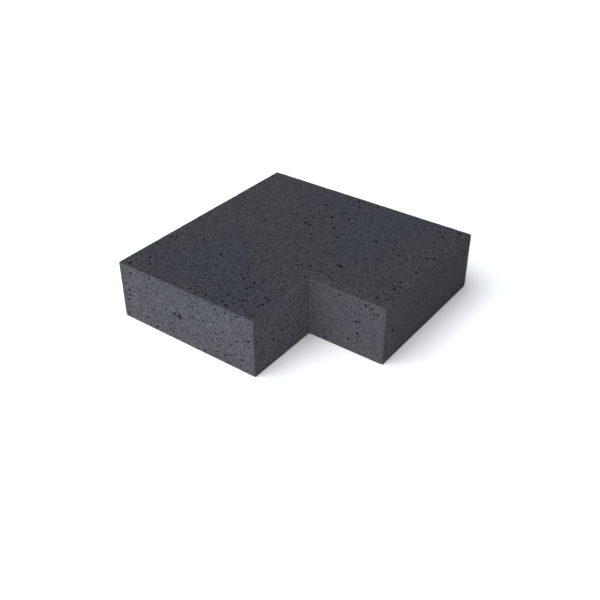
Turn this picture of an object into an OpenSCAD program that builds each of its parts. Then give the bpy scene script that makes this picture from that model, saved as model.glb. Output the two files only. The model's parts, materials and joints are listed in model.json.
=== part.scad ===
// Cast concrete corner piece for a flight of block steps.
// One solid casting: a square block with a square notch at one corner, so that
// it reads as two equal arms that meet at a right angle. Every outer edge is
// rounded by the mould. The origin is at the middle of the outer square, on
// the bed face; the notch opens towards +X and -Y.

/* [Plan] */
// Length of each outer side, along both arms
outer_side = 600; // [500:50:900]
// Width of each arm, the same as the depth of the straight steps it joins
arm_width = 400; // [300:10:450]

/* [Section] */
// Height of the riser
riser_height = 150; // [100:5:200]
// Radius that rounds every outer edge
arris_radius = 3; // [1:0.5:10]

/* [Colour] */
// Colour of the pigmented concrete
concrete_colour = "#50525A"; // [#50525A:Anthracite, #8C8A86:Grey, #B8AC9A:Sand]

/* [Hidden] */
$fn = 48;
half_side = outer_side / 2;

// A bar of the given size whose twelve edges and eight corners are rounded by
// the arris radius. Its lowest corner is at the origin.
module rounded_bar(size) {
    r = arris_radius;
    inner = [size.x - 2 * r, size.y - 2 * r, size.z - 2 * r];
    near_far_x = [r, size.x - r];
    near_far_y = [r, size.y - r];
    low_high = [r, size.z - r];

    // Three slabs, each full size along one axis, give the six flat faces.
    translate([0, r, r]) cube([size.x, inner.y, inner.z]);
    translate([r, 0, r]) cube([inner.x, size.y, inner.z]);
    translate([r, r, 0]) cube([inner.x, inner.y, size.z]);

    // Rounded edges along X, Y and Z.
    for (y = near_far_y, z = low_high)
        translate([r, y, z]) rotate([0, 90, 0]) cylinder(r = r, h = inner.x);
    for (x = near_far_x, z = low_high)
        translate([x, r, z]) rotate([-90, 0, 0]) cylinder(r = r, h = inner.y);
    for (x = near_far_x, y = near_far_y)
        translate([x, y, r]) cylinder(r = r, h = inner.z);

    // Rounded corners.
    for (x = near_far_x, y = near_far_y, z = low_high)
        translate([x, y, z]) sphere(r = r);
}

// The casting: one bar along the left side and one along the back, fused where
// they cross. What they leave open is the notch.
module step_corner_block() {
    color(concrete_colour)
    union() {
        translate([-half_side, -half_side, 0])
            rounded_bar([arm_width, outer_side, riser_height]);
        translate([-half_side, half_side - arm_width, 0])
            rounded_bar([outer_side, arm_width, riser_height]);
    }
}

step_corner_block();
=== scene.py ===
"""Gives the cast concrete corner block its finished surface, and sets up the stage it is shown on.

The block is one closed skin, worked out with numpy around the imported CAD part: flat moulded faces, rounded
arrises with a little wear, and some thousands of open air holes. The finish is precast concrete coloured
right through with an anthracite pigment.
"""

import json
from typing import Callable, NamedTuple

import bpy
import numpy as np
from bpy.props import FloatProperty, FloatVectorProperty, IntProperty, PointerProperty
from bpy.types import Operator, Panel, PropertyGroup
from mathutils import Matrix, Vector
from mathutils.geometry import delaunay_2d_cdt


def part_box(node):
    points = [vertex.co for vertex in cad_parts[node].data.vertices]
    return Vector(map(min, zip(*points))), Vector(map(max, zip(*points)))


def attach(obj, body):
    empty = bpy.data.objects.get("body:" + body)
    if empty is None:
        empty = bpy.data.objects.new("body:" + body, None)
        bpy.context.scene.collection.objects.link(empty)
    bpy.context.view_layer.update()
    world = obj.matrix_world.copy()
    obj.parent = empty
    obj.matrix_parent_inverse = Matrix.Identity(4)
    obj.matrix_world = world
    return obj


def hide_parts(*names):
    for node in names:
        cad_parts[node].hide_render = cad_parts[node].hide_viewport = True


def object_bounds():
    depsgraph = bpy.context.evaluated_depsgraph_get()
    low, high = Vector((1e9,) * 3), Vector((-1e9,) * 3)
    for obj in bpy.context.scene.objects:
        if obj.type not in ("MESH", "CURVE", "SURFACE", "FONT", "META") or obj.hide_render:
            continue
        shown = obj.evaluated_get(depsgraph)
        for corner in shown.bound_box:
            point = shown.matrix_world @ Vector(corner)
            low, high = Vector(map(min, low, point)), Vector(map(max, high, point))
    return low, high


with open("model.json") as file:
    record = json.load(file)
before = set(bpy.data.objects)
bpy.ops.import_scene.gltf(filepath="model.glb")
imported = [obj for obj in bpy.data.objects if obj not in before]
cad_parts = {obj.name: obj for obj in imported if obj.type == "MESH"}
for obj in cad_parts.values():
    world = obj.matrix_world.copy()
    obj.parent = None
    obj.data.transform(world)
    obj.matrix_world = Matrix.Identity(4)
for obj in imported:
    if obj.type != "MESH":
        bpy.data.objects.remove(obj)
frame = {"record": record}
CAD_LOW, CAD_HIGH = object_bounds()

bl_info = {
    "name": "Concrete Corner Block",
    "version": (1, 0, 0),
    "blender": (4, 5, 0),
    "location": "View3D > Sidebar > Concrete Block",
    "description": "Casts a concrete step corner block and sets up its stage",
    "category": "Add Mesh",
}

CAD_NODE = "step_corner_block"
PIECE = "concrete_block"
BODY = "root"
MM = 0.001

# The block's corners, and the height of its bed and of its tread.
BLOCK_LOW, BLOCK_HIGH = (np.array(corner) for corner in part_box(CAD_NODE))
BED_LEVEL, TREAD_LEVEL = BLOCK_LOW[2], BLOCK_HIGH[2]


def mount_place(name):
    """Middle of one of the CAD part's mount faces, in metres."""
    return next(m["pos_m"] for m in frame["record"]["mounts"] if m["name"] == name)


# The middle of the front arm's end face lies half the arm's width from the block's left side.
ARM_WIDTH = 2 * (mount_place("front_arm_end")[0] - BLOCK_LOW[0])
NOTCH_X = BLOCK_LOW[0] + ARM_WIDTH
NOTCH_Y = BLOCK_HIGH[1] - ARM_WIDTH


# ---------------------------------------------------------------- settings


def length_property(name, description, default, least, most):
    """A length setting of the block, given in millimetres."""
    return FloatProperty(
        name=name,
        description=description,
        default=default * MM,
        min=least * MM,
        max=most * MM,
        subtype="DISTANCE",
        unit="LENGTH",
    )


class BlockSizes(PropertyGroup):
    """Sizes of the moulded edges and of the air holes."""

    arris: length_property("Arris radius", "Radius of the moulded edges round the tread", 1.6, 1.0, 10.0)
    foot_arris: length_property("Foot radius", "Radius of the sharp edges round the bed", 0.8, 0.5, 10.0)
    upright: length_property("Upright edge radius", "Plan radius of the upright outer edges", 2.2, 1.5, 15.0)
    unevenness: length_property("Unevenness", "How far the moulded faces dip below true", 0.15, 0.0, 2.0)
    arris_wear: length_property("Arris wear", "How deep handling has worn the edges", 0.3, 0.0, 2.0)
    smallest_hole: length_property("Smallest air hole", "Radius of the smallest hole cut", 1.1, 0.5, 2.0)
    largest_hole: length_property("Largest air hole", "Radius of the largest scattered hole", 3.0, 1.0, 6.0)
    holes: IntProperty(
        name="Air holes per square metre",
        description="How many air holes a square metre of moulded face has",
        default=4800,
        min=0,
        max=8000,
    )


def hex_colour(text):
    """Linear colour of an sRGB hex value such as "50525A", by the sRGB curve and its straight foot."""
    parts = np.array([int(text[i : i + 2], 16) for i in (0, 2, 4)]) / 255
    low, high = parts / 12.92, ((parts + 0.055) / 1.055) ** 2.4
    return tuple(float(v) for v in np.where(parts <= 0.04045, low, high))


def colour_property(name, description, text):
    """A colour setting of the finish, whose default is an sRGB hex value."""
    return FloatVectorProperty(
        name=name,
        description=description,
        default=hex_colour(text),
        min=0.0,
        max=1.0,
        size=3,
        subtype="COLOR",
    )


class BlockColours(PropertyGroup):
    """Colours of the pigmented concrete, and of the shade painted inside its holes."""

    slate: colour_property("Slate paste", "Cement paste where the pigment looks bluish", "434750")
    heather: colour_property("Heather paste", "Cement paste where the pigment looks purplish", "48484F")
    warm: colour_property("Warm paste", "Cement paste where the pigment looks neutral", "48494E")
    sand: colour_property("Sand", "Sand grains that show through the paste", "6A6B71")
    # Painted shade: the dark colour laid inside the air holes and on the pinhole spots.
    painted_pore_shade: colour_property("Pore", "Shaded inside of the air holes", "0B0B0E")
    worn: colour_property("Worn arris", "Paste along the worn edges", "56585F")


class StageSettings(PropertyGroup):
    """Light and floor of the stage."""

    key_strength: FloatProperty(
        name="Key lamp",
        description="Strength of the large soft lamp at the front left",
        default=2.14,
        min=0.0,
    )
    fill_power: FloatProperty(
        name="Fill lamp",
        description="Power of the small lamp near the floor at the front right",
        default=94.0,
        min=0.0,
        unit="POWER",
    )
    side_power: FloatProperty(
        name="Side lamp",
        description="Power of the wider lamp near the floor at the left",
        default=295.0,
        min=0.0,
        unit="POWER",
    )
    floor_lift: FloatProperty(
        name="Floor lift",
        description="How much the floor is lifted towards white where it is seen",
        default=0.49,
        min=0.0,
        max=1.0,
        subtype="FACTOR",
    )


# ---------------------------------------------------------------- how the skin is drawn

CAST_SEED = 7

# The lip is a flat strip beyond the arris on both of its faces. The upright edges are rounder than the
# arris by UPRIGHT_ROOM at least, so that the inset lines of arris and lip don't cross.
LIP = 0.4 * MM
UPRIGHT_ROOM = 1.5 * LIP
INNER_RADIUS = 1.5 * MM
PLAN_STEPS, ARRIS_STEPS = 5, 4
OUTLINE_SPACING, SEAM_SPACING, UPRIGHT_SPACING = 3 * MM, 6 * MM, 4 * MM
SAME_DIRECTION = 1e-6

# Flat faces are drawn through a jittered triangular lattice of spare points, whose rows are ROW_SHARE of
# the spacing apart, and which stay a margin inside the face and a gap away from every hole.
SPARE_SPACING, ROW_SHARE, JITTER = 12 * MM, 0.866, 0.2
SPARE_MARGIN, SPARE_GAP = 2 * MM, 0.8 * MM
TRIANGLES_INSIDE, SAME_POINT = 1, 1e-8

# Scattered holes: how steeply their number falls with radius, and how they are stretched and turned.
STEEPNESS = 3.0
STRETCH_SPREAD, MOST_STRETCH, TURN_SPREAD = 0.3, 1.1, 0.9

# A hole takes up its long radius times RIM_REACH and HOLE_GAP more, and keeps these distances from the
# upright edges and from the line where the unrolled wall begins and ends.
RIM_REACH, HOLE_GAP = 1.2, 0.35 * MM
UPRIGHT_MARGIN, SEAM_MARGIN = 3.5 * MM, 3 * MM

# How many waves go round a hole's rim, how high each is, and the least and most that they add up to.
RIM_WAVES, RIM_WAVE_HEIGHTS, RIM_WAVE_LIMITS = (2, 3, 5), (0.10, 0.08, 0.05), (-0.22, 0.18)
LEAN_SPREAD = 0.12
BOWL_DEPTHS = (1.1, 1.7)
# How fast the shade painted inside a hole deepens with its share of the depth.
HOLLOW_GAIN = 1.8

# Each class of hole, from its smallest radius up: segments, and rings as (scale, share of the depth).
HOLE_CLASSES = (
    (0.0, 7, ((1.0, 0.0), (0.72, 0.7), (0.0, 1.0))),
    (1.25 * MM, 10, ((1.0, 0.0), (0.86, 0.5), (0.5, 0.9), (0.0, 1.0))),
    (2.1 * MM, 14, ((1.0, 0.0), (0.92, 0.4), (0.72, 0.75), (0.4, 0.95), (0.0, 1.0))),
)

# Uneven fields, each as its wavelength and seed: the dips of the faces, the long and short wear of the
# edges, and how holes gather.
DIP_WAVE, GATHERING_WAVE = (110 * MM, 21), (60 * MM, 31)
LONG_WEAR_WAVE, SHORT_WEAR_WAVE = (30 * MM, 22), (8 * MM, 23)
SHORT_WEAR_SHARE, GATHERING_SHARE = 0.6, 0.3
WAVELENGTH_SPREAD = (0.7, 1.6)

# Small knocks at random along the edges: their number, the share on the tread, reaches and depths.
SMALL_KNOCKS, TREAD_SHARE = 60, 0.6
KNOCK_REACHES, KNOCK_DEPTHS = (1.5, 3.0), (0.2, 0.6)

MAP_GAP = 8 * MM

# ---------------------------------------------------------------- listed marks

# All of these are in millimetres, along the block's own axes.

# Air holes that stand out on the tread: (x, y, long radius, short radius, angle in degrees). Which holes
# are listed was settled one by one. More than half of their places, here and on the walls, were taken from
# what a separate measuring script printed, and the rest were read off or moved by hand. The sizes and
# angles were set with measurements as a guide.
TREAD_HOLES = (
    (-73, 217, 8, 4.4, -25), (-25, 171, 6.4, 4.2, -40), (18, 186, 4.8, 4, -60), (11, 128, 5.2, 3.4, 40),
    (-62, 110, 6, 4.8, -15), (-47.5, 106.5, 5.6, 4.8, 10), (30, 97, 2.4, 2, 0), (45, 92, 5.4, 3.2, -40),
    (55, 84, 3.4, 2.6, -40), (10, 41, 3, 2.4, 0), (130, 134, 6, 4.6, -50), (150, 146, 3, 2.4, 0),
    (186, 181, 3.6, 2.8, -50), (250, 247, 5.2, 4.2, -40), (258, 237, 3, 2.4, 0), (234, 263, 3.2, 2.6, 0),
    (275, 286, 5.6, 4.6, -55), (247, 210, 6, 3, -65), (219, 158, 3, 2.6, 0), (210, 108, 5, 3.8, -40),
    (268, 135, 5, 4.2, -55), (282, 143, 4.6, 4, -55), (145, 21, 3.2, 2.4, 0), (124, -11.5, 13, 4.6, -4),
    (274, 92, 4.2, 3.4, 0), (126, -46, 3.4, 2.8, -40), (279, 68, 4, 3.4, 0), (267, -13, 3.6, 2.6, 0),
    (278, -6, 4, 3.8, 0), (275, -22, 5.2, 4, -30), (271, 10, 3.4, 2.6, 0), (262, -72, 4.8, 4, 0),
    (1, 279, 3.4, 2.8, 0), (-17, 285, 5.4, 4.4, 0), (43, 285, 5, 3.8, 0), (-11, 214, 4.8, 3.8, -20),
    (-15, 201, 4.4, 3.6, 0), (3, 256, 4.6, 3.6, -40), (-61, 142, 5.4, 4.6, 0), (69, -51, 4.2, 3.4, 0),
    (-148, 56, 4.8, 3.4, -30), (-131, -132, 5.4, 4.6, -45), (-276, -286, 5.8, 4.4, -30),
    (-210, -105, 4.6, 3, -40), (-281, -143, 4.4, 3.2, -60), (-272, -133, 4.2, 3.2, 20),
    (-256, -241, 4.8, 4.4, -60), (-235, -262, 3.4, 2.8, 0), (-47, -88, 4.4, 2.8, -20),
    (22, -103, 2.2, 1.8, 0), (-43, -151, 3.4, 2.8, -50), (-59, -178, 3, 2.2, -50), (-36, -173, 2.6, 2.2, 0),
    (-20, -184, 4.4, 3.6, -50), (23, -170, 3.8, 3.2, -50), (60, -142, 3.2, 2.4, -50),
    (77, -167, 4, 2.4, 30), (-56, -205, 2.4, 2, 0), (-51, -220, 3.2, 2, 20), (-85, -231, 3, 2.2, 0),
    (-23, -204, 2.8, 2.2, 0), (-30, -212, 2.2, 1.8, 0), (14, -202, 3.6, 3, 30), (11, -213, 3.8, 3.2, -50),
    (3, -225, 3.8, 2.8, 30), (-83, -270, 3.6, 2.8, 30), (-63, -255, 4.4, 2.6, 35), (62, -192, 3.4, 2.6, 35),
    (67, -214, 5.6, 3.6, -20), (79, -220, 4.8, 3.4, -30), (-5, -255, 4, 3.2, 0), (11, -258, 3.2, 2.6, 0),
    (27, -256, 3.2, 2.6, -50), (35, -251, 4, 3.8, 0), (49, -254, 2.8, 2.2, 0), (61, -244, 3.6, 2.6, -50),
    (76, -250, 3.4, 2.8, 0), (77, -239, 4.2, 3.6, 0), (-46, -282, 4.6, 3, -45), (-91, -284, 3.8, 3, 0),
    (-68, -288, 3.2, 2.4, 30), (-22, -286, 2.4, 2, 0), (-2, -279, 4.2, 3, -30), (16, -287, 4.2, 3.6, -50),
    (45, -270, 2.8, 2.2, 0), (59, -274, 2.6, 2.2, 0), (82, -271, 2.6, 2, 0), (85, -284, 2.6, 2.2, 0),
)

# The same on the walls: (x, y, z, long radius, short radius, angle up from the level).
WALL_HOLES = (
    (-131.5, -300, 73.5, 4.8, 4.2, -30), (-116, -300, 71.5, 7.2, 5.2, -15), (-275, -300, 81, 4.8, 3.6, -30),
    (-276, -300, 68, 5.2, 3.8, 10), (-282, -300, 53, 3.6, 3.4, 0), (-263, -300, 133, 5.2, 2.8, -20),
    (-222, -300, 24, 3.4, 2, 0), (-193, -300, 11, 3.4, 2.6, 0), (-203, -300, 140, 3.6, 3, 0),
    (-218, -300, 109, 3.2, 2.4, 0), (-148, -300, 112, 2, 1.6, 0), (-127, -300, 106, 4, 1.8, -60),
    (-145, -300, 42, 3.6, 2.8, -20), (-80, -300, 136, 2.4, 1.6, 0), (-72, -300, 113, 2.4, 1.6, 40),
    (-76, -300, 88, 3.4, 2, 60), (-44, -300, 90, 5, 1.8, 15), (-69, -300, 41, 2, 1.6, 0),
    (-48, -300, 10, 2, 1.6, 0), (-11, -300, 21, 3.8, 3, 20), (16, -300, 23, 4, 2.8, 0),
    (64, -300, 31, 5, 2.6, 25), (51, -300, 76, 3.2, 2.6, 0), (84, -300, 90, 4, 2.8, 0),
    (54, -300, 142, 3.4, 2.4, 0), (23, -300, 138, 3, 2.4, 0), (181, -100, 140, 3.2, 2.4, -20),
    (249, -100, 139, 3.6, 3, 0), (265, -100, 136, 4, 3, -20), (280, -100, 126, 3.6, 2.8, 0),
    (235, -100, 90, 3.8, 2.8, 0), (245, -100, 85, 3.2, 2.2, -30), (232, -100, 57, 4.2, 2.6, 80),
    (232, -100, 37, 3.2, 2.6, 0), (134, -100, 70, 3, 2.4, 0), (100, -255, 107, 3.6, 3, 90),
    (100, -216, 91, 3.6, 2.6, -40), (100, -239, 84, 3.4, 2.2, 0), (100, -233, 62, 5, 3, -40),
    (300, -62, 74, 7.4, 3, -20), (100, -165, 36, 3.6, 2.2, -40), (100, -140, 81, 3.6, 2.2, -40),
    (146, -100, 10, 3.8, 2.8, 0), (176, -100, 120, 2.8, 2, 0), (227, -100, 134, 2.8, 2.2, 0),
    (249, -100, 70, 2.8, 2, 0), (-6, -300, 137, 3, 2.4, 40), (-16, -300, 98, 2.8, 2.4, 0),
    (-21, -300, 50, 2.6, 2.2, 0), (-7, -300, 57, 2.6, 2.2, 0), (5, -300, 63, 2.6, 2.2, 0),
    (70, -300, 85, 2.8, 2.2, 0), (-168, -300, 85, 2.8, 2.2, 0),
)

# Where holes gather or are rare: (x, y, z, reach, share more or fewer of them).
HOLE_CLUSTERS = (
    (-150, -240, 150, 110, 0.6), (230, -40, 150, 80, 0.8), (60, 200, 150, 130, 0.5),
    (-220, 220, 150, 150, -0.7), (60, -300, 90, 60, 0.8), (240, -100, 70, 60, 0.8),
    (300, 150, 75, 190, -0.5),
)

# The share of the drawn holes that are kept where they neither gather nor are rare: wall, tread and bed.
EVEN_LIKING = (0.40, 0.62, 0.15)

# Where the bluer pigment gathers: (x, y, z, reach, share).
SLATE_PATCHES = (
    (-130, -90, 150, 80, 0.8), (-160, -200, 140, 90, 0.85), (-260, -230, 150, 60, 0.5),
    (20, -240, 145, 90, 1.0), (-80, -300, 70, 80, 0.2), (-120, 255, 150, 50, 0.8), (-30, 220, 150, 70, 0.9),
    (100, 80, 150, 60, 0.8), (140, 190, 150, 90, 0.9), (260, 245, 150, 60, 0.9), (-300, 60, 60, 110, 0.8),
    (110, 300, 60, 90, 0.8), (60, 120, 0, 150, 0.8),
)

# Where it turns a little purple instead: (x, y, z, reaches along x, y and z, share).
HEATHER_PATCHES = (
    (235, -100, 82, 75, 75, 45, 1.6), (140, -100, 130, 40, 40, 40, 0.6), (-260, -300, 90, 70, 70, 70, 1.3),
    (65, -300, 60, 50, 50, 50, 1.2), (240, 205, 150, 60, 60, 60, 1.0), (-80, 10, 150, 50, 50, 50, 0.8),
    (30, -110, 150, 40, 40, 40, 0.7), (65, -200, 150, 40, 40, 40, 0.7), (-60, 175, 150, 50, 50, 50, 0.6),
    (-300, -120, 80, 70, 70, 70, 0.9), (-150, 300, 70, 80, 80, 80, 0.9), (-120, -60, 0, 100, 100, 100, 0.9),
)

# Painted light and shade, standing in for how the lamps fall: paler patches on the notch's side and on the
# tread along the notch's edge, and darker ones at the notch's inner corner, along the top edges of the front
# and the
# notch, at the front's foot, on the right side, by two upright edges and at the outer end of the notch's
# side:
# (x, y, z, reaches along x, y and z, share).
PAINTED_LIGHT_SHADE_PATCHES = (
    (100, -140, 60, 8, 80, 130, 0.17), (100, -110, 75, 5, 12, 130, 0.10),
    (100, -150, 145, 10, 55, 14, 0.20), (100, -270, 140, 8, 60, 40, -0.06),
    (100, -296, 75, 3, 25, 130, -0.16), (100, -100, 75, 45, 4, 130, -0.10),
    (106, -100, 75, 12, 4, 130, -0.10), (185, -100, 150, 140, 8, 9, -0.24),
    (205, -100, 150, 40, 6, 6, -0.18), (200, -88, 150, 120, 12, 8, 0.18), (20, -300, 20, 110, 8, 50, -0.07),
    (-100, -300, 150, 260, 5, 5, -0.08), (40, -300, 150, 60, 5, 5, -0.20),
    (300, 60, 110, 8, 260, 60, -0.09), (302, -98, 75, 4, 6, 130, -0.14),
)

# Knocks on the edges: (x, y, z, reach, depth). The first five are the tread's worn corners.
KNOCKS = (
    (100, -300, 150, 7, 2.2), (-300, -300, 150, 4, 0.4), (300, 300, 150, 4, 0.4), (-300, 300, 150, 4, 0.5),
    (300, -100, 150, 5, 1.0), (133, -100, 150, 9, 0.8), (170, -100, 150, 9, 0.6), (209, -100, 150, 10, 0.9),
    (252, -100, 150, 10, 0.9), (100, -300, 84, 2.6, 1.1), (100, -300, 0, 4, 0.3), (300, -100, 0, 3, 0.1),
    (-300, -300, 0, 4, 0.5), (300, 300, 0, 4, 0.6), (-300, 300, 0, 5, 1.0), (-300, 120, 150, 4, 1.0),
    (60, 300, 0, 6, 1.6), (-300, 300, 60, 4, 1.2),
)

# Where feet have worn the tread's arris round: (x, y, z, reaches along x, y and z, added radius).
WORN_ROUND = (
    (150, -100, 150, 45, 12, 10, 4),
    (215, -100, 150, 35, 12, 10, 3),
    (255, -100, 150, 22, 12, 10, 3),
)


# ---------------------------------------------------------------- shape of the block


def wave_field(places, wavelength, seed, waves=24):
    """Smooth uneven field of about unit spread.

    Formula: the sum of cosines of the distance along random directions, over wavelengths spread about the
    one given, each with a random phase, scaled by the square root of two over their number.
    """
    rng = np.random.default_rng(seed)
    directions = rng.normal(size=(waves, places.shape[1]))
    directions /= np.linalg.norm(directions, axis=1, keepdims=True)
    lengths = wavelength * rng.uniform(*WAVELENGTH_SPREAD, (waves, 1))
    phases = rng.uniform(0, 2 * np.pi, waves)
    return np.cos(2 * np.pi * places @ (directions / lengths).T + phases).sum(1) * np.sqrt(2 / waves)


def near_centres(places, centres):
    """Sum over centres of a smooth bell round each, for rows of x, y, z, reach and height in millimetres.

    Formula: each bell is its height times e to the power of minus the square of the distance over the
    reach. A row may have three reaches, along x, y and z, and its bell is then an ellipsoid.
    """
    centres = np.array(centres, float)
    away = (places[:, None] - centres[None, :, :3] * MM) / (centres[:, 3:-1] * MM)
    return (centres[:, -1] * np.exp(-(away**2).sum(2))).sum(1)


def plan_outline(outer_radius):
    """Closed outline of the block in plan, anticlockwise: points, outward normals and distances along it.

    Formula: straight runs join six corners. At an outer corner the outline is the arc centre plus the
    radius times a normal that turns a quarter circle to the left. At the notch's inner corner the centre
    lies outside, the radius counts backwards and the normal turns to the right. The outline starts half way
    along the back.
    """
    (left, front), (right, back) = BLOCK_LOW[:2], BLOCK_HIGH[:2]
    corners = np.array(
        [(left, back), (left, front), (NOTCH_X, front), (NOTCH_X, NOTCH_Y), (right, NOTCH_Y), (right, back)]
    )
    ways = np.roll(corners, -1, 0) - corners
    ways /= np.linalg.norm(ways, axis=1, keepdims=True)
    middle_back = np.array([(left + right) / 2, back])
    points, normals = [middle_back[None]], [np.array([[0.0, 1.0]])]

    def run_to(end, normal):
        """Adds the points of a straight run, up to but without its end."""
        start = points[-1][-1]
        steps = int(np.ceil(np.linalg.norm(end - start) / OUTLINE_SPACING))
        share = np.linspace(0, 1, steps + 1)[1:-1, None]
        points.append(start + share * (end - start))
        normals.append(np.repeat(normal[None], steps - 1, 0))

    for i, corner in enumerate(corners):
        way_in, way_out = ways[i - 1], ways[i]
        normal_in = np.array([way_in[1], -way_in[0]])
        normal_out = np.array([way_out[1], -way_out[0]])
        turn = np.sign(way_in[0] * way_out[1] - way_in[1] * way_out[0])
        radius = outer_radius if turn > 0 else -INNER_RADIUS
        centre = corner - radius * (normal_in + normal_out)
        angle = np.linspace(0, np.pi / 2, PLAN_STEPS + 1)[:, None]
        normal = np.cos(angle) * normal_in + np.sin(angle) * normal_out
        arc = centre + radius * normal
        run_to(arc[0], normal_in)
        points.append(arc)
        normals.append(normal)
    run_to(middle_back, normals[-1][-1])
    points, normals = np.concatenate(points), np.concatenate(normals)
    gaps = np.linalg.norm(np.roll(points, -1, 0) - points, axis=1)
    return points, normals, np.concatenate([[0], np.cumsum(gaps)])


class Skin:
    """The block's skin while it is put together: its points with what each one carries, and its triangles.

    A point has its place on the true block, the outward normal there, how deep it is sunk below it, how far
    it is inside a hole, which sets the shade painted there, and how much of an edge it is, both from 0 to 1,
    the hole whose rim it is on, and its place on each of the three flat charts: the wall, unrolled, and the
    top and bed in plan.
    """

    CHARTS = ("wall", "top", "bed")
    WALL, TOP, BED = range(3)

    def __init__(self):
        kept = ("place", "normal", "sunk", "hollow", "edge", "rim", *self.CHARTS)
        self.columns = {key: [] for key in kept}
        self.count = 0
        self.triangles, self.charts = [], []
        self.hole_count = 0

    def add(self, place, normal, **more):
        """Adds points and gives their numbers back."""
        n = len(place)
        plain = dict(sunk=np.zeros(n), hollow=np.zeros(n), edge=np.zeros(n), rim=np.full(n, -1))
        plain.update({key: np.zeros((n, 2)) for key in self.CHARTS})
        plain.update(place=place, normal=normal, **more)
        for key, column in plain.items():
            self.columns[key].append(column)
        self.count += n
        return np.arange(self.count - n, self.count)

    def cover(self, triangles, chart):
        """Adds triangles, three point numbers each, and the chart that they are laid out on."""
        self.triangles.append(triangles)
        self.charts.append(np.full(len(triangles), chart))

    def column(self, key):
        """What all the points carry under one name, in the order of their numbers."""
        return np.concatenate(self.columns[key])


class Face(NamedTuple):
    """A moulded face laid flat on its chart, for its holes to be cut.

    It has the corners of its area, the numbers and flat places of its border, its listed holes, and flat
    points that it is drawn through besides the lattice. Its function to_space gives flat points their
    places and outward normals on the block, and allowed says which of them lie inside the border by a
    reach.
    """

    chart: int
    low: tuple
    high: tuple
    border: np.ndarray
    border_xy: np.ndarray
    listed: np.ndarray
    drawn_through: np.ndarray
    to_space: Callable
    allowed: Callable


def grid_triangles(numbers):
    """Two triangles for each cell of a grid of point numbers.

    Seen from outside, with columns running to the right and rows running up, they face the viewer.
    """
    a, b = numbers[:-1, :-1], numbers[:-1, 1:]
    c, d = numbers[1:, 1:], numbers[1:, :-1]
    return np.stack([np.stack([a, b, c], -1), np.stack([a, c, d], -1)]).reshape(-1, 3)


def arris_band(skin, outline, radii, chart):
    """The rounded edge all round the top or the bed, as an arris profile carried along the outline.

    Gives the point numbers of its edge on the wall and of its edge on the top or the bed.

    Formula: at an angle t from the wall, a point is the outline point, less the outward normal times the
    radius there times one minus cos t, at a height of the radius times sin t above the wall's edge, and its
    normal is cos t of the outward one and sin t of the upright one. A narrow flat lip runs on beyond the
    arc at both ends, so that the shading of the flat faces starts flat.
    """
    points, normals, along = outline
    n = len(points)
    angle = np.concatenate([[0], np.linspace(0, np.pi / 2, ARRIS_STEPS + 1), [np.pi / 2]])
    inset = (1 - np.cos(angle))[:, None] * radii
    rise = np.sin(angle)[:, None] * radii
    run = angle[:, None] * radii
    rise[0] -= LIP
    run[0] -= LIP
    inset[-1] += LIP
    run[-1] += LIP
    level, up = (TREAD_LEVEL, 1.0) if chart == Skin.TOP else (BED_LEVEL, -1.0)
    height = level - up * (radii - rise)
    rows = len(angle)
    xy = points[None] - inset[:, :, None] * normals[None]
    place = np.concatenate([xy, height[:, :, None]], 2)
    normal = np.concatenate(
        [
            np.cos(angle)[:, None, None] * normals[None],
            np.broadcast_to(up * np.sin(angle)[:, None, None], (rows, n, 1)),
        ],
        2,
    )
    edge = np.broadcast_to(np.sin(2 * angle)[:, None], (rows, n))
    wall_up = level - up * (radii - run)
    wall = np.stack(np.broadcast_arrays(along[None, :-1], wall_up), -1)
    cap = xy[-1][None] + (run[-1] - run)[:, :, None] * normals[None]
    numbers = skin.add(
        place.reshape(-1, 3),
        normal.reshape(-1, 3),
        edge=edge.reshape(-1),
        wall=wall.reshape(-1, 2),
        **{Skin.CHARTS[chart]: cap.reshape(-1, 2)},
    ).reshape(rows, n)
    half = rows // 2 + 1
    closed = np.concatenate([numbers, numbers[:, :1]], 1)
    wall_part, cap_part = closed[:half], closed[half - 1 :]
    if chart == Skin.BED:
        wall_part, cap_part = wall_part[::-1], cap_part[::-1]
    skin.cover(grid_triangles(wall_part), Skin.WALL)
    skin.cover(grid_triangles(cap_part), chart)
    return numbers[0], numbers[-1]


def taken_up(holes, gap):
    """How far from its middle each hole keeps others off: its long radius, its wavy rim and a gap."""
    return holes[:, 2] * holes[:, 3] * RIM_REACH + gap


def scatter_holes(rng, face, sizes):
    """Places, radii, stretches and angles of the air holes on a face.

    Formula: the listed holes come first. Then places are drawn evenly over the area, and kept as often as
    the chart's even liking says, raised or lowered by the bells of HOLE_CLUSTERS and by an uneven field.
    Radii are drawn from a power law, so that small holes are by far the most common. The largest go down
    first, and one that would come too near another is left out.
    """
    span = np.array(face.high) - np.array(face.low)
    wanted = int(sizes.holes * span.prod())
    xy = np.array(face.low) + rng.random((wanted, 2)) * span
    spread = 1 - (sizes.smallest_hole / sizes.largest_hole) ** STEEPNESS
    radius = sizes.smallest_hole * (1 - rng.random(wanted) * spread) ** (-1 / STEEPNESS)
    stretch = 1 + np.minimum(np.abs(rng.normal(0, STRETCH_SPREAD, wanted)), MOST_STRETCH)
    angle = rng.normal(0, TURN_SPREAD, wanted)
    place = face.to_space(xy)[0]
    uneven = GATHERING_SHARE * wave_field(place, *GATHERING_WAVE)
    liking = EVEN_LIKING[face.chart] * (1 + near_centres(place, HOLE_CLUSTERS) + uneven)
    kept = rng.random(wanted) < liking
    order = np.flatnonzero(kept)[np.argsort(-radius[kept])]
    holes = np.concatenate([face.listed, np.column_stack([xy, radius, stretch, angle])[order]])
    reach = taken_up(holes, HOLE_GAP)
    taken = []
    for i in np.flatnonzero(face.allowed(holes[:, :2], reach)):
        near = np.hypot(*(holes[taken, :2] - holes[i, :2]).T) < reach[taken] + reach[i] if taken else False
        if not np.any(near):
            taken.append(i)
    return holes[taken]


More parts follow.
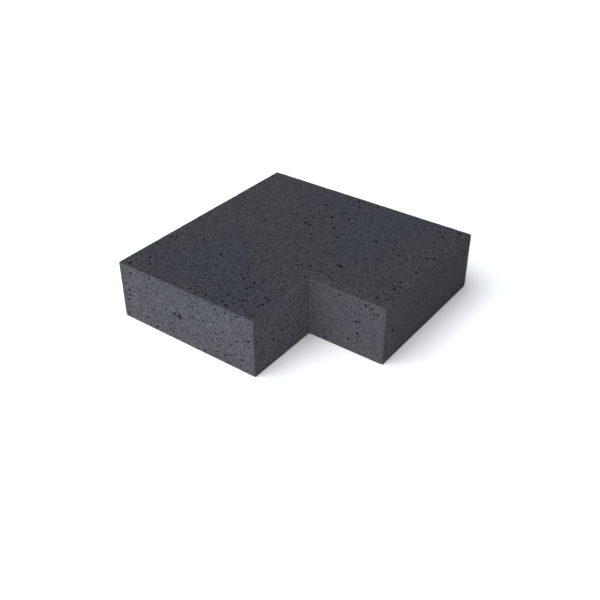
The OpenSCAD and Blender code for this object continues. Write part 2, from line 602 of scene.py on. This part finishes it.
def bowl_rings(rng, holes, segments, scales):
    """Rims and inner rings of a group of holes on their chart, as holes by rings by segments.

    Formula: round an angle p, the rim's distance is the radius times one plus three cosines of 2p, 3p and
    5p with random sizes and phases. It is then stretched along the hole's own axis. Each inner ring is the
    rim drawn in by its scale, with its middle moved a little to one side.
    """
    m = len(holes)
    turn = np.arange(segments) / segments * 2 * np.pi + rng.uniform(0, 1, (m, 1))
    heights = rng.normal(0, RIM_WAVE_HEIGHTS, (m, len(RIM_WAVES)))
    phases = rng.uniform(0, 2 * np.pi, (m, len(RIM_WAVES)))
    waves = np.cos(turn[..., None] * RIM_WAVES + phases[:, None]) * heights[:, None]
    distance = holes[:, 2:3] * (1 + np.clip(waves.sum(2), *RIM_WAVE_LIMITS))
    long_way, short_way = np.cos(turn) * distance * holes[:, 3:4], np.sin(turn) * distance
    cos, sin = np.cos(holes[:, 4:5]), np.sin(holes[:, 4:5])
    rim = np.stack([long_way * cos - short_way * sin, long_way * sin + short_way * cos], -1)
    lean = rng.normal(0, LEAN_SPREAD, (m, 1, 1, 2)) * holes[:, 2, None, None, None]
    scales = np.asarray(scales)[None, :, None, None]
    return holes[:, None, None, :2] + rim[:, None] * scales + lean * (1 - scales)


def cut_holes(skin, rng, holes, face):
    """Adds the bowls of a face's air holes, and gives the rims back as lists of point numbers.

    Formula: a bowl's depth is its radius times a number drawn from BOWL_DEPTHS, and each ring lies at its
    share of that depth. A point is as far inside the hole as its share times HOLLOW_GAIN, up to 1, and that
    much of the dark shade colour is painted on it.
    """
    floors = [c[0] for c in HOLE_CLASSES] + [np.inf]
    rims = []
    for (least, segments, rings), most in zip(HOLE_CLASSES, floors[1:]):
        group = holes[(holes[:, 2] >= least) & (holes[:, 2] < most)]
        if not len(group):
            continue
        m, k = len(group), len(rings)
        scales, shares = np.array(rings).T
        xy = bowl_rings(rng, group, segments, scales)
        depth = group[:, 2] * rng.uniform(*BOWL_DEPTHS, m)
        sunk = depth[:, None, None] * shares[None, :, None] * np.ones(segments)
        hollow = np.broadcast_to(np.minimum(shares * HOLLOW_GAIN, 1)[None, :, None], sunk.shape)
        rim = np.where(np.arange(k) == 0, np.arange(skin.hole_count, skin.hole_count + m)[:, None], -1)
        rim = np.broadcast_to(rim[..., None], sunk.shape)
        skin.hole_count += m
        # The last ring is one point, the middle of the bowl's floor.
        xy, sunk, hollow, rim = (
            np.concatenate([v[:, :-1].reshape(m, (k - 1) * segments, *v.shape[3:]), v[:, -1, :1]], 1)
            for v in (xy, sunk, hollow, rim)
        )
        place, normal = face.to_space(xy.reshape(-1, 2))
        numbers = skin.add(
            place,
            normal,
            sunk=sunk.reshape(-1),
            hollow=hollow.reshape(-1),
            rim=rim.reshape(-1),
            **{Skin.CHARTS[face.chart]: xy.reshape(-1, 2)},
        ).reshape(m, -1)
        ring = numbers[:, :-1].reshape(m, k - 1, segments)
        after = np.roll(ring, -1, 2)
        outer, outer_after = ring[:, :-1], after[:, :-1]
        inner, inner_after = ring[:, 1:], after[:, 1:]
        floor = np.broadcast_to(numbers[:, -1:], (m, segments))
        triangles = np.concatenate(
            [
                np.stack([outer, outer_after, inner_after], -1).reshape(-1, 3),
                np.stack([outer, inner_after, inner], -1).reshape(-1, 3),
                np.stack([ring[:, -1], after[:, -1], floor], -1).reshape(-1, 3),
            ]
        )
        skin.cover(triangles[:, ::-1] if face.chart == Skin.BED else triangles, face.chart)
        rims += list(ring[:, 0])
    return rims


def lattice(rng, low, high):
    """Points of a triangular lattice with a little jitter, every other row moved along by half a spacing."""
    rows = np.arange(low[1], high[1], SPARE_SPACING * ROW_SHARE)
    columns = np.arange(low[0], high[0], SPARE_SPACING)
    x, y = np.meshgrid(columns, rows)
    x = x + (np.arange(len(rows)) % 2)[:, None] * SPARE_SPACING / 2
    xy = np.column_stack([x.ravel(), y.ravel()])
    return xy + rng.uniform(-JITTER, JITTER, xy.shape) * SPARE_SPACING


def spare_points(rng, face, holes):
    """The flat points between a face's holes that it is drawn through."""
    xy = lattice(rng, face.low, face.high)
    xy = xy[face.allowed(xy, np.full(len(xy), SPARE_MARGIN))]
    apart = np.hypot(xy[:, None, 0] - holes[None, :, 0], xy[:, None, 1] - holes[None, :, 1])
    clear = (apart > taken_up(holes, SPARE_GAP)[None]).all(1)
    return np.concatenate([xy[clear], face.drawn_through])


def flat_between(skin, face, rims, spare_xy):
    """Fills a face between its border and its holes' rims, by Delaunay triangles through spare points."""
    key = Skin.CHARTS[face.chart]
    place, normal = face.to_space(spare_xy)
    spare = skin.add(place, normal, **{key: spare_xy})
    rim_numbers = np.concatenate(rims)
    numbers = np.concatenate([face.border, rim_numbers, spare])
    xy = np.concatenate([face.border_xy, skin.column(key)[rim_numbers], spare_xy])
    ends = np.cumsum([len(face.border)] + [len(r) for r in rims])
    loops = [list(range(a, b)) for a, b in zip([0, *ends[:-1]], ends)]
    places = list(map(Vector, xy.tolist()))
    found = delaunay_2d_cdt(places, [], loops, TRIANGLES_INSIDE, SAME_POINT, True)
    corners, _, faces, sources, _, owners = found
    if len(corners) != len(xy):
        raise RuntimeError(f"{key}: two lines of the skin cross")
    source = np.array([s[0] for s in sources])
    outside_holes = np.array([owner == [0] for owner in owners])
    triangles = numbers[source[np.array(faces)[outside_holes]]]
    skin.cover(triangles[:, ::-1] if face.chart == Skin.BED else triangles, face.chart)


def turning(normals):
    """Which steps from one outline point to the next turn a corner."""
    return np.abs(np.roll(normals, -1, 0) - normals).sum(1) > SAME_DIRECTION


def upright_columns(outline, low, high):
    """Points up every arc of the outline, on the unrolled wall, so that triangles follow the rounding."""
    _, normals, along = outline
    on_arc = turning(normals) | np.roll(turning(normals), 1)
    beside = on_arc | np.roll(on_arc, 1) | np.roll(on_arc, -1)
    heights = np.arange(low + UPRIGHT_SPACING, high - UPRIGHT_SPACING / 2, UPRIGHT_SPACING)
    s, z = np.meshgrid(along[:-1][beside], heights)
    return np.column_stack([s.ravel(), z.ravel()])


def inside_plan(xy, margin):
    """Which plan points lie inside the block's outline by a margin."""
    inside = ((xy > BLOCK_LOW[:2] + margin[..., None]) & (xy < BLOCK_HIGH[:2] - margin[..., None])).all(-1)
    in_notch = (xy[..., 0] > NOTCH_X - margin) & (xy[..., 1] < NOTCH_Y + margin)
    return inside & ~in_notch


def knock_places(outline, rng):
    """The listed knocks and small ones at random along the edges: places, reaches and depths, in metres."""
    points = outline[0]
    xy = points[rng.integers(0, len(points), SMALL_KNOCKS)]
    z = np.where(rng.random(SMALL_KNOCKS) < TREAD_SHARE, TREAD_LEVEL, BED_LEVEL)
    reaches = rng.uniform(*KNOCK_REACHES, SMALL_KNOCKS) * MM
    depths = rng.uniform(*KNOCK_DEPTHS, SMALL_KNOCKS) * MM
    listed = np.array(KNOCKS) * MM
    places = np.concatenate([np.column_stack([xy, z]), listed[:, :3]])
    return places, np.concatenate([reaches, listed[:, 3]]), np.concatenate([depths, listed[:, 4]])


def worn_places(skin, sizes, knocks):
    """Final places of the skin's points.

    Formula: each point moves in along its normal by its depth in a hole, by a long low wave on every face,
    by a shorter wave on the edges, and by a bell curve of the distance from each knock, so that nothing
    stands proud of the true block.
    """
    place, normal = skin.column("place"), skin.column("normal")
    dip = sizes.unevenness * (0.5 + 0.5 * np.tanh(wave_field(place, *DIP_WAVE)))
    rub = wave_field(place, *LONG_WEAR_WAVE) + SHORT_WEAR_SHARE * wave_field(place, *SHORT_WEAR_WAVE)
    wear = sizes.arris_wear * skin.column("edge") * (0.5 + 0.5 * np.tanh(rub))
    centres, reaches, depths = knocks
    apart = np.linalg.norm(place[:, None] - centres[None], axis=2)
    knocked = (depths * np.exp(-((apart / reaches) ** 2))).sum(1)
    return place - normal * (skin.column("sunk") + dip + wear + knocked)[:, None]


def map_corners(skin, triangles, charts, length):
    """Place of every triangle corner on the surface map, from 0 to 1.

    Formula: the unrolled wall lies in two strips at the bottom, each half of its length, and the tread and
    the bed lie side by side above them, all at one scale, then stretched up to fill the map.
    """
    side = BLOCK_HIGH[0] - BLOCK_LOW[0]
    strip = TREAD_LEVEL - BED_LEVEL + MAP_GAP
    wall, top, bed = (skin.column(key)[triangles] for key in Skin.CHARTS)
    # The triangles that close the wall have corners at its start, which are laid at its far end.
    far_end = wall[..., 0].max(1, keepdims=True) > length / 2
    wall[..., 0] += length * (far_end & (wall[..., 0] < length / 4))
    second = wall[..., 0].mean(1) > length / 2
    wall[second] += (-length / 2, strip)
    wall += (MAP_GAP * 2, MAP_GAP)
    above_strips = 2 * strip + MAP_GAP * 2
    top = top - BLOCK_LOW[:2] + (MAP_GAP, above_strips)
    bed = bed - BLOCK_LOW[:2] + (side + 3 * MAP_GAP, above_strips)
    on_chart = np.stack([wall, top, bed])
    uv = on_chart[charts, np.arange(len(charts))]
    return uv / (2 * side + 5 * MAP_GAP, 2 * strip + side + 4 * MAP_GAP)


def check_closed(triangles):
    """Stops the script unless two triangles share each edge of the skin and run along it both ways."""
    ways = np.concatenate([triangles[:, pair] for pair in ([0, 1], [1, 2], [2, 0])]).astype(np.int64)
    size = triangles.max() + 1
    there, back = ways[:, 0] * size + ways[:, 1], ways[:, 1] * size + ways[:, 0]
    if len(np.unique(there)) != len(there) or not np.array_equal(np.sort(there), np.sort(back)):
        raise RuntimeError("the block's skin isn't closed")


def hole_rows(first, second, long_radius, short_radius, degrees):
    """Listed holes as rows of two flat places, radius, stretch and angle, in metres and radians."""
    return np.column_stack(
        [first, second, short_radius * MM, long_radius / short_radius, np.radians(degrees)]
    )


def listed_tread_holes():
    """The listed holes of the tread, in plan."""
    x, y, *shape = np.array(TREAD_HOLES, float).T
    return hole_rows(x * MM, y * MM, *shape)


def listed_wall_holes(outline):
    """The listed holes of the walls, laid on the unrolled wall at the nearest place of the outline."""
    x, y, z, *shape = np.array(WALL_HOLES, float).T
    points, normals, along = outline
    xy = np.column_stack([x, y]) * MM
    nearest = np.hypot(*(points[None] - xy[:, None]).transpose(2, 0, 1)).argmin(1)
    tangent = np.column_stack([-normals[nearest, 1], normals[nearest, 0]])
    s = along[nearest] + ((xy - points[nearest]) * tangent).sum(1)
    return hole_rows(s, z * MM, *shape)


def arris_radii(sizes, xy):
    """Radius of the tread's arris at places in plan, wider where it is worn round."""
    place = np.column_stack([xy, np.full(len(xy), TREAD_LEVEL)])
    return sizes.arris + near_centres(place, WORN_ROUND) * MM


def wall_face(skin, sizes, outline, bed_edge, top_edge, top_radii):
    """The walls as one face, unrolled along the outline and closed where it begins.

    Formula: a flat point at a distance along the outline and a height has its place and normal from the
    outline's, by straight lines between the outline's points.
    """
    points, normals, along = outline
    length = along[-1]
    low, high = BED_LEVEL + sizes.foot_arris + LIP, TREAD_LEVEL - sizes.arris - LIP
    top_line = TREAD_LEVEL - np.append(top_radii, top_radii[0]) - LIP
    ends_met = [np.concatenate([v, v[:1]]) for v in (points, normals)]
    upright_edges = along[:-1][turning(normals)]

    def to_space(sz):
        """Places and outward normals of flat points on the wall."""
        x, y, across, ahead = (np.interp(sz[:, 0], along, v) for v in np.concatenate(ends_met, 1).T)
        normal = np.column_stack([across, ahead, np.zeros(len(sz))])
        return np.column_stack([x, y, sz[:, 1]]), normal / np.linalg.norm(normal, axis=1, keepdims=True)

    def allowed(sz, reach):
        """Which flat points keep a reach from the edges and from the wall's beginning and end."""
        s, z = sz.T
        return (
            (np.abs(s[:, None] - upright_edges[None]).min(1) > reach + UPRIGHT_MARGIN)
            & (s > reach + SEAM_MARGIN)
            & (s < length - reach - SEAM_MARGIN)
            & (z > low + reach)
            & (z < np.interp(s, along, top_line) - reach)
        )

    seam_z = np.arange(low + SEAM_SPACING, high - SEAM_SPACING / 2, SEAM_SPACING)
    seam_xy = np.column_stack([np.zeros_like(seam_z), seam_z])
    seam = skin.add(*to_space(seam_xy), wall=seam_xy)
    low_side = np.column_stack([along, np.full(len(along), low)])
    high_side = np.column_stack([along, top_line])[::-1]
    return Face(
        chart=Skin.WALL,
        low=(0, low),
        high=(length, high),
        border=np.concatenate([bed_edge, bed_edge[:1], seam, top_edge[:1], top_edge[::-1], seam[::-1]]),
        border_xy=np.concatenate([low_side, seam_xy + (length, 0), high_side, seam_xy[::-1]]),
        listed=listed_wall_holes(outline),
        drawn_through=upright_columns(outline, low, high),
        to_space=to_space,
        allowed=allowed,
    )


def level_face(sizes, outline, chart, edge, radii, listed):
    """The tread or the bed in plan, whose border is the outline moved in by the arris and its lip."""
    points, normals, _ = outline
    level, up = (TREAD_LEVEL, 1.0) if chart == Skin.TOP else (BED_LEVEL, -1.0)

    def to_space(xy):
        """Places and outward normals of plan points on the face."""
        return np.column_stack([xy, np.full(len(xy), level)]), np.tile((0.0, 0.0, up), (len(xy), 1))

    def allowed(xy, reach):
        """Which plan points lie a reach inside the face."""
        return inside_plan(xy, reach + arris_radii(sizes, xy) + LIP)

    return Face(
        chart=chart,
        low=BLOCK_LOW[:2],
        high=BLOCK_HIGH[:2],
        border=edge,
        border_xy=points - (radii + LIP)[:, None] * normals,
        listed=listed,
        drawn_through=np.zeros((0, 2)),
        to_space=to_space,
        allowed=allowed,
    )


def cast_skin(sizes):
    """The whole skin of the block, the length of its outline, and the final places of the skin's points."""
    rng = np.random.default_rng(CAST_SEED)
    upright = max(sizes.upright, max(sizes.arris, sizes.foot_arris) + UPRIGHT_ROOM)
    outline = plan_outline(upright)
    points = outline[0]
    foot_radii = np.full(len(points), sizes.foot_arris)
    top_radii = arris_radii(sizes, points)
    skin = Skin()
    bed_edge, bed_border = arris_band(skin, outline, foot_radii, Skin.BED)
    top_edge, top_border = arris_band(skin, outline, top_radii, Skin.TOP)
    no_holes = np.zeros((0, listed_tread_holes().shape[1]))
    for face in (
        wall_face(skin, sizes, outline, bed_edge, top_edge, top_radii),
        level_face(sizes, outline, Skin.TOP, top_border, top_radii, listed_tread_holes()),
        level_face(sizes, outline, Skin.BED, bed_border, foot_radii, no_holes),
    ):
        holes = scatter_holes(rng, face, sizes)
        rims = cut_holes(skin, rng, holes, face)
        flat_between(skin, face, rims, spare_points(rng, face, holes))
    return skin, outline[2][-1], worn_places(skin, sizes, knock_places(outline, rng))


def skin_mesh(skin, length, places):
    """The skin as a mesh, with its map, its rims marked sharp and what the finish reads as attributes."""
    triangles = np.concatenate(skin.triangles)
    charts = np.concatenate(skin.charts)
    check_closed(triangles)
    mesh = bpy.data.meshes.new(PIECE)
    mesh.vertices.add(len(places))
    mesh.vertices.foreach_set("co", places.astype(np.float32).ravel())
    mesh.loops.add(triangles.size)
    mesh.loops.foreach_set("vertex_index", triangles.astype(np.int32).ravel())
    mesh.polygons.add(len(triangles))
    mesh.polygons.foreach_set("loop_start", np.arange(0, triangles.size, 3, dtype=np.int32))
    mesh.update(calc_edges=True)
    mesh.shade_smooth()
    ends = np.empty(len(mesh.edges) * 2, np.int32)
    mesh.edges.foreach_get("vertices", ends)
    rim = skin.column("rim")[ends.reshape(-1, 2)]
    mesh.edges.foreach_set("use_edge_sharp", (rim[:, 0] >= 0) & (rim[:, 0] == rim[:, 1]))
    carried = {
        # How far each point is inside a hole, which the finish turns into painted shade.
        "hollow": skin.column("hollow"),
        "edge": skin.column("edge"),
        "slate": near_centres(places, SLATE_PATCHES),
        "heather": near_centres(places, HEATHER_PATCHES),
        # Painted light and shade: a factor on the paste's brightness, above 1 where light is painted and
        # below 1 where shade is painted.
        "painted_light_shade": 1 + near_centres(places, PAINTED_LIGHT_SHADE_PATCHES),
    }
    for name, values in carried.items():
        attribute = mesh.attributes.new(name, "FLOAT", "POINT")
        attribute.data.foreach_set("value", values.astype(np.float32))
    layer = mesh.uv_layers.new(name="OFBake")
    layer.uv.foreach_set("vector", map_corners(skin, triangles, charts, length).astype(np.float32).ravel())
    mesh.validate()
    return mesh


# ---------------------------------------------------------------- finish

# Numbers of the colour mix node's inputs and output, which share their names with those for plain numbers.
MIX_FACTOR, MIX_A, MIX_B, MIX_COLOUR = 0, 6, 7, 2

# Moves the patterns along, so that no plane between their cells runs through the middle of the block.
PATTERN_SHIFT = (0.31, 0.17, 0.05)


def add_node(tree, kind, links=None, values=None, **settings):
    """Adds a node, links its inputs to sockets or to the first output of nodes, and sets the rest of it."""
    node = tree.nodes.new("ShaderNode" + kind)
    for key, value in settings.items():
        setattr(node, key, value)
    for key, value in (values or {}).items():
        node.inputs[key].default_value = value
    for key, source in (links or {}).items():
        socket = source.outputs[0] if isinstance(source, bpy.types.Node) else source
        tree.links.new(socket, node.inputs[key])
    return node


def empty_tree(owner):
    """The node tree of a material or world, with nothing in it."""
    owner.use_nodes = True
    owner.node_tree.nodes.clear()
    return owner.node_tree


def rgba(colour):
    """A colour with full cover, as a node's colour input takes it."""
    return (*colour, 1.0)


def per_metre(size_mm):
    """Scale of a pattern whose features are this many millimetres across."""
    return 1000 / size_mm


def precast_concrete(colours):
    """Precast concrete, coloured right through with anthracite pigment and struck from a smooth steel
    mould.

    To the eye it is dark, matt and slightly bluish, clouded where the pigment lies uneven, and peppered
    with fine sand and pinholes. Light and shade are painted into its colour too: paler and darker patches
    that stand in for how the lamps fall, and dark shade inside the air holes and pinholes.
    """
    material = bpy.data.materials.new("precast_anthracite_concrete")
    tree = empty_tree(material)
    place = add_node(tree, "TexCoord").outputs["Object"]
    centred = add_node(tree, "Mapping", {"Vector": place}, {"Location": PATTERN_SHIFT})
    hollow, edge, slate, heather, painted_light_shade = (
        add_node(tree, "Attribute", attribute_name=name).outputs["Fac"]
        for name in ("hollow", "edge", "slate", "heather", "painted_light_shade")
    )

    def clouding(size_mm, detail, roughness, between, gives):
        """Clouds of a size: noise between two of its values, spread by a smooth step between two others."""
        look = {"Scale": per_metre(size_mm), "Detail": detail, "Roughness": roughness}
        field = add_node(tree, "TexNoise", {"Vector": centred}, look)
        ends = {"From Min": between[0], "From Max": between[1], "To Min": gives[0], "To Max": gives[1]}
        return add_node(tree, "MapRange", {"Value": field}, ends, interpolation_type="SMOOTHSTEP")

    def speckling(size_mm, reach, share):
        """Spots in a share of cells of a size, 1 up to 0.4 of a reach and 0 beyond it, in cell sizes."""
        cells = add_node(tree, "TexVoronoi", {"Vector": centred}, {"Scale": per_metre(size_mm)})
        ends = {"From Min": reach, "From Max": 0.4 * reach, "To Min": 0.0, "To Max": 1.0}
        near = add_node(tree, "MapRange", {"Value": cells}, ends, interpolation_type="SMOOTHSTEP")
        drawn = add_node(tree, "SeparateColor", {"Color": cells.outputs["Color"]})
        chosen = add_node(tree, "Math", {0: drawn}, {1: share}, operation="LESS_THAN")
        return add_node(tree, "Math", {0: near, 1: chosen}, operation="MULTIPLY")

    # Pigment clouds of some 60 mm, and mottling of some 20 mm from the vibrated mould.
    clouds = clouding(60, detail=3, roughness=0.5, between=(0.3, 0.7), gives=(-0.25, 0.25))
    mottle = clouding(20, detail=3, roughness=0.5, between=(0.25, 0.75), gives=(0.93, 1.07))
    # The sand is 0.5 to 2 mm and the pinholes are 0.3 to 1 mm across, too fine to show. They are drawn
    # coarser, as grain of some 3 mm and as soft spots 2 to 4 mm across.
    grain = clouding(2.8, detail=3, roughness=0.65, between=(0.3, 0.7), gives=(0.35, 1.65))
    sand = speckling(4.5, reach=0.22, share=0.25)
    pinholes = speckling(7.5, reach=0.28, share=0.8)

    bluer = add_node(tree, "Math", {0: slate, 1: clouds}, operation="ADD")
    pastes = {MIX_A: rgba(colours.warm), MIX_B: rgba(colours.slate)}
    mixed = add_node(tree, "Mix", {MIX_FACTOR: bluer}, pastes, data_type="RGBA").outputs[MIX_COLOUR]
    purplish = {MIX_B: rgba(colours.heather)}
    mixed = add_node(tree, "Mix", {MIX_FACTOR: heather, MIX_A: mixed}, purplish, data_type="RGBA")
    colour = mixed.outputs[MIX_COLOUR]
    # The first factor paints light and shade onto the paste; the mottle and the grain are the concrete's
    # own.
    for brightness in (painted_light_shade, mottle, grain):
        colour = add_node(tree, "VectorMath", {0: colour, "Scale": brightness}, operation="SCALE")
    # The last two coats are painted shade: the pinhole spots and the insides of the air holes are laid with
    # the dark shade colour.
    for share, strength, tint in (
        (sand, 0.45, colours.sand),
        (edge, 0.2, colours.worn),
        (pinholes, 0.85, colours.painted_pore_shade),
        (hollow, 1.0, colours.painted_pore_shade),
    ):
        cover = add_node(tree, "Math", {0: share}, {1: strength}, operation="MULTIPLY")
        under = {MIX_FACTOR: cover, MIX_A: colour}
        laid = add_node(tree, "Mix", under, {MIX_B: rgba(tint)}, data_type="RGBA")
        colour = laid.outputs[MIX_COLOUR]

    raised = add_node(tree, "Math", {0: grain, 1: pinholes}, operation="SUBTRACT")
    bump = add_node(tree, "Bump", {"Height": raised}, {"Strength": 0.3, "Distance": 0.5 * MM})
    roughness = clouding(9, detail=2, roughness=0.5, between=(0.3, 0.7), gives=(0.84, 0.95))
    surface = add_node(
        tree,
        "BsdfPrincipled",
        {"Base Color": colour, "Roughness": roughness, "Normal": bump},
        {"IOR": 1.5, "Specular IOR Level": 0.15},
    )
    add_node(tree, "OutputMaterial", {"Surface": surface})
    return material


# ---------------------------------------------------------------- stage

# Where the camera stands: what it looks at, from the middle of the block's box, then its angles and
# distance.
LOOK_AT_OFFSET = (65.5 * MM, -89.0 * MM, -0.5 * MM)
CAMERA_AZIMUTH, CAMERA_ELEVATION, CAMERA_DISTANCE = 36.29, 34.13, 1.871
CAMERA_LENS = 48.47

# The glow is a little bluish. This shows only where the floor is below white, so it tints the block's shadow
# and the painted contact shade.
FLOOR_COLOUR, GLOW_COLOUR, BACKDROP_COLOUR = "FDFDFD", "F1F7FF", "FFFFFF"
FLOOR_HALF_WIDTH = 20.0

# The floor's glow fades within this distance of the block, which paints a dark contact shade on the floor
# where the two meet.
CONTACT_SHADE_DISTANCE, CONTACT_SHADE_SAMPLES = 120 * MM, 8


def direction(azimuth, elevation):
    """Unit vector towards a place seen at an azimuth, 0 in front and 90 at the right, and an elevation."""
    a, e = np.radians((azimuth, elevation))
    return Vector((np.sin(a) * np.cos(e), -np.cos(a) * np.cos(e), np.sin(e)))


def put_in_scene(name, data):
    """A new object with its data, in the scene."""
    new = bpy.data.objects.new(name, data)
    bpy.context.scene.collection.objects.link(new)
    return new


def seen_rays(tree):
    """1 for camera, glossy and transmission rays, which show a white studio, and 0 for the rest."""
    path = add_node(tree, "LightPath")
    seen = path.outputs["Is Camera Ray"]
    for ray in ("Is Glossy Ray", "Is Transmission Ray"):
        seen = add_node(tree, "Math", {0: seen, 1: path.outputs[ray]}, operation="MAXIMUM")
    return seen


def studio_floor_finish(lift):
    """Matt white studio floor, lifted to white where it is seen and keeping the block's shadow, with contact
    shade painted where the lift fades near the block.
    """
    material = bpy.data.materials.new("studio_floor")
    tree = empty_tree(material)
    matt = add_node(tree, "BsdfDiffuse", values={"Color": rgba(hex_colour(FLOOR_COLOUR))})
    reach = {"Distance": CONTACT_SHADE_DISTANCE}
    # Painted contact shade: the lift is weaker where the floor lies close to the block.
    clear = add_node(tree, "AmbientOcclusion", values=reach, samples=CONTACT_SHADE_SAMPLES)
    seen = add_node(tree, "Math", {0: seen_rays(tree), 1: clear.outputs["AO"]}, operation="MULTIPLY")
    strength = add_node(tree, "Math", {0: seen}, {1: lift}, operation="MULTIPLY")
    glow = add_node(tree, "Emission", {"Strength": strength}, {"Color": rgba(hex_colour(GLOW_COLOUR))})
    both = add_node(tree, "AddShader", {0: matt, 1: glow})
    add_node(tree, "OutputMaterial", {"Surface": both})
    return material


def white_world():
    """World that is seen and mirrored as plain white, and gives no light of its own."""
    world = bpy.data.worlds.new("studio")
    tree = empty_tree(world)
    colour = {"Color": rgba(hex_colour(BACKDROP_COLOUR))}
    white = add_node(tree, "Background", {"Strength": seen_rays(tree)}, colour)
    add_node(tree, "OutputWorld", {"Surface": white})
    return world


def sun(name, azimuth, elevation, strength, width):
    """A distant soft lamp, whose width is in degrees."""
    data = bpy.data.lights.new(name, "SUN")
    data.energy = strength
    data.angle = np.radians(width)
    lamp = put_in_scene(name, data)
    lamp.rotation_mode = "QUATERNION"
    lamp.rotation_quaternion = direction(azimuth, elevation).to_track_quat("Z", "Y")


def near_lamp(name, azimuth, distance, height, power, radius):
    """A round lamp near the floor, a distance in metres from the middle of the block. No ray shows it."""
    data = bpy.data.lights.new(name, "POINT")
    data.energy = power
    data.shadow_soft_size = radius
    lamp = put_in_scene(name, data)
    lamp.location = direction(azimuth, 0) * distance + Vector((0, 0, height))
    lamp.visible_camera = False
    lamp.visible_glossy = False


def studio_camera():
    """Camera that looks down on the tread from the notch's side."""
    middle = Vector((CAD_LOW + CAD_HIGH) / 2)
    back = direction(CAMERA_AZIMUTH, CAMERA_ELEVATION)
    camera = put_in_scene("camera", bpy.data.cameras.new("camera"))
    camera.data.lens = CAMERA_LENS
    camera.location = middle + Vector(LOOK_AT_OFFSET) + back * CAMERA_DISTANCE
    camera.rotation_mode = "QUATERNION"
    camera.rotation_quaternion = (-back).to_track_quat("-Z", "Y")
    bpy.context.scene.camera = camera


def studio_floor(lift):
    """A wide flat floor at the height of the bed face."""
    half = FLOOR_HALF_WIDTH
    corners = [(x, y, BED_LEVEL) for x, y in ((-half, -half), (half, -half), (half, half), (-half, half))]
    mesh = bpy.data.meshes.new("floor")
    mesh.from_pydata(corners, [], [range(len(corners))])
    mesh.materials.append(studio_floor_finish(lift))
    put_in_scene("floor", mesh)


# ---------------------------------------------------------------- operators


class CONCRETE_OT_cast_block(Operator):
    """Cast the corner block's skin and give it its concrete finish"""

    bl_idname = "concrete.cast_block"
    bl_label = "Cast Corner Block"
    bl_options = {"REGISTER", "UNDO"}

    def execute(self, context):
        skin, length, places = cast_skin(context.scene.block_sizes)
        mesh = skin_mesh(skin, length, places)
        mesh.materials.append(precast_concrete(context.scene.block_colours))
        block = put_in_scene(PIECE, mesh)
        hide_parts(CAD_NODE)
        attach(block, BODY)
        return {"FINISHED"}


class CONCRETE_OT_set_stage(Operator):
    """Set up the floor, the lamps, the world and the camera"""

    bl_idname = "concrete.set_stage"
    bl_label = "Set Up Stage"
    bl_options = {"REGISTER", "UNDO"}

    def execute(self, context):
        stage = context.scene.block_stage
        studio_floor(stage.floor_lift)
        studio_camera()
        sun("key", azimuth=-30, elevation=60, strength=stage.key_strength, width=50)
        near_lamp("fill", azimuth=30, distance=2.0, height=0.3, power=stage.fill_power, radius=0.1)
        near_lamp("side", azimuth=-65, distance=3.0, height=0.4, power=stage.side_power, radius=0.4)
        context.scene.world = white_world()
        context.scene.view_settings.view_transform = "Standard"
        return {"FINISHED"}


class CONCRETE_PT_panel(Panel):
    """Sidebar panel of the block and its stage"""

    bl_idname = "CONCRETE_PT_panel"
    bl_label = "Concrete Block"
    bl_space_type = "VIEW_3D"
    bl_region_type = "UI"
    bl_category = "Concrete Block"

    def draw(self, context):
        layout = self.layout
        for settings, operator in (
            ("block_sizes", CONCRETE_OT_cast_block),
            ("block_colours", None),
            ("block_stage", CONCRETE_OT_set_stage),
        ):
            box = layout.box()
            group = getattr(context.scene, settings)
            for name in group.__annotations__:
                box.prop(group, name)
            if operator:
                box.operator(operator.bl_idname)


SETTINGS = {"block_sizes": BlockSizes, "block_colours": BlockColours, "block_stage": StageSettings}
CLASSES = (*SETTINGS.values(), CONCRETE_OT_cast_block, CONCRETE_OT_set_stage, CONCRETE_PT_panel)


def register():
    """Registers the classes and hangs their settings on the scene."""
    for cls in CLASSES:
        bpy.utils.register_class(cls)
    for name, group in SETTINGS.items():
        setattr(bpy.types.Scene, name, PointerProperty(type=group))


def unregister():
    """Takes the settings off the scene and the classes off the register."""
    for name in SETTINGS:
        delattr(bpy.types.Scene, name)
    for cls in reversed(CLASSES):
        bpy.utils.unregister_class(cls)


def main():
    """Builds the block and its stage."""
    register()
    bpy.ops.concrete.cast_block()
    bpy.ops.concrete.set_stage()


if __name__ == "__main__":
    main()
